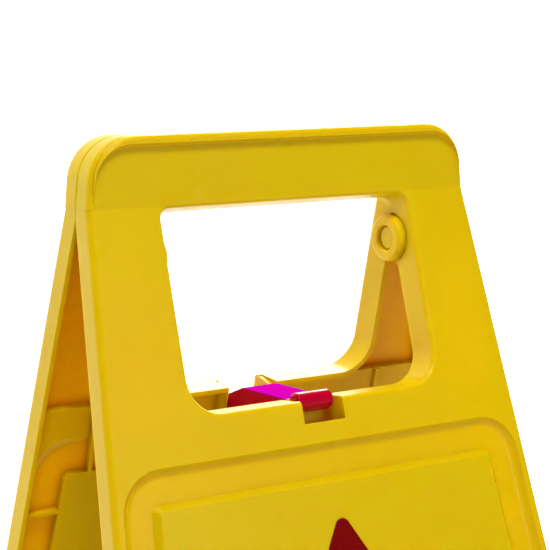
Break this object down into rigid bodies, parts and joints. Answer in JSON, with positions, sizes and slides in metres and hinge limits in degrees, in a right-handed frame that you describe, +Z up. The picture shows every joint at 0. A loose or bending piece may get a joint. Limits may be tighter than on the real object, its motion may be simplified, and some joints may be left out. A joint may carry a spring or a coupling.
{
  "type": "folding wet floor sign",
  "caption": "Free-standing A-frame floor sign of two hinged plastic panels with hand openings, a lock arm and a plain warning triangle.",
  "frame": {"origin": "on the floor, midway between the open panels, on the middle of the sign's width", "axes": "+X across the sign, +Y from the front panel to the back panel, +Z up"},
  "size_m": [0.3038, 0.3356, 0.5989],
  "materials": {
    "yellow_plastic": "satin moulded",
    "pin_plastic": "satin moulded",
    "red_plastic": "gloss moulded",
    "pin_steel": "plain",
    "red_film": "printed film"
  },
  "bodies": {
    "front": {"front_panel": "yellow_plastic", "hinge_pin_right": "pin_plastic", "front_label": "red_film"},
    "back": {"back_panel": "yellow_plastic", "hinge_pin_left": "pin_plastic", "lock_pivot_pin": "pin_steel", "back_label": "red_film"},
    "lock": {"lock_arm": "red_plastic"}
  },
  "joints": [
    {"name": "fold", "type": "hinge", "parent": "front", "child": "back", "pos_m": [0, 0, 0.54219], "axis": [1, 0, 0], "range_deg": [-30.8, 0]},
    {"name": "lock_swing", "type": "hinge", "parent": "back", "child": "lock", "pos_m": [0, 0.03208, 0.46203], "axis": [1, 0, 0], "range_deg": [-64.88, 0]}
  ],
  "couplings": [
    {"joint": "lock_swing", "follows": "fold", "ratio": 2.1}
  ]
}
